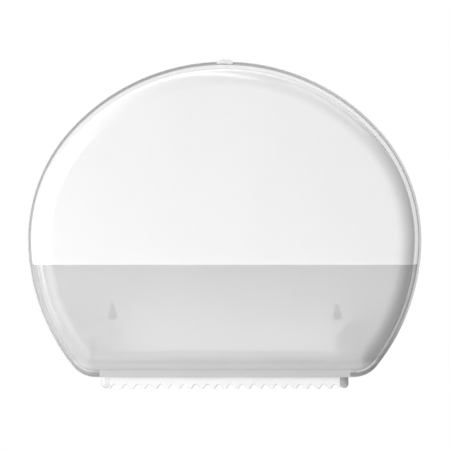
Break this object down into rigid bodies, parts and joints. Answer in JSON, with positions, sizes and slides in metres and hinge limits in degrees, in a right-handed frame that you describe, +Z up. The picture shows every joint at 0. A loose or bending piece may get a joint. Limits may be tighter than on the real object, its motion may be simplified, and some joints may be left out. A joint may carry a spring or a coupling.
{
  "type": "toilet paper dispenser",
  "caption": "Wall dispenser for jumbo toilet rolls: arched cover on a bottom hinge with a see-through lower window, push lock, roll hubs and a toothed tear bar.",
  "frame": {"origin": "middle of the four wall fixings, on the wall face of the housing", "axes": "+X to the right seen from the front, the front faces -Y, +Z up"},
  "size_m": [0.437, 0.133, 0.3617],
  "materials": {
    "housing_white": "gloss white moulding",
    "outlet_white": "gloss white moulding",
    "tear_bar_white": "satin white",
    "cover_white": "high gloss white",
    "window_smoke": "see-through smoke grey",
    "button_grey": "satin light grey",
    "latch_grey": "matt light grey",
    "bracket_grey": "matt pale grey",
    "bush_grey": "matt grey",
    "spindle_grey": "matt grey",
    "hub_white": "satin white",
    "screw_steel": "zinc plated",
    "pin_steel": "ground",
    "spring_steel": "spring steel"
  },
  "bodies": {
    "housing": {"back_housing": "housing_white", "outlet_frame": "outlet_white", "outlet_screws": "screw_steel", "tear_bar": "tear_bar_white", "tear_bar_screws": "screw_steel", "left_hinge_bracket": "bracket_grey", "right_hinge_bracket": "bracket_grey", "bracket_screws": "screw_steel", "hinge_pins": "pin_steel", "lock_housing": "bracket_grey", "lock_screws": "screw_steel", "lock_spring": "spring_steel", "brake_spring": "spring_steel", "brake_screw": "screw_steel", "main_spindle": "spindle_grey", "main_spindle_screws": "screw_steel", "main_retainer": "bush_grey", "main_retainer_screw": "screw_steel", "stub_spindle": "spindle_grey", "stub_spindle_screws": "screw_steel", "stub_retainer": "bush_grey", "stub_retainer_screw": "screw_steel"},
    "cover": {"cover_shell": "cover_white", "cover_window": "window_smoke", "hinge_bushes": "bush_grey"},
    "lock": {"lock_button": "button_grey", "latch_slider": "latch_grey"},
    "main_hub": {"roll_hub": "hub_white", "roll_hub_flange": "hub_white", "roll_hub_bushes": "bush_grey"},
    "small_hub": {"stub_hub": "hub_white", "stub_hub_flange": "hub_white", "stub_hub_bushes": "bush_grey"}
  },
  "joints": [
    {"name": "cover_hinge", "type": "hinge", "parent": "housing", "child": "cover", "pos_m": [0, -0.034, -0.154], "axis": [1, 0, 0], "range_deg": [0, 95]},
    {"name": "lock_press", "type": "slide", "parent": "housing", "child": "lock", "axis": [0, 0, -1], "range_m": [0, 0.004], "stiffness_N_per_m": 600, "springref_m": -0.003, "deforming": ["lock_spring"]},
    {"name": "roll_spin", "type": "hinge", "parent": "housing", "child": "main_hub", "pos_m": [-0.05, -0.056, 0.012], "axis": [0, -1, 0], "continuous": true},
    {"name": "stub_spin", "type": "hinge", "parent": "housing", "child": "small_hub", "pos_m": [0.14, -0.056, 0.012], "axis": [0, -1, 0], "continuous": true}
  ]
}
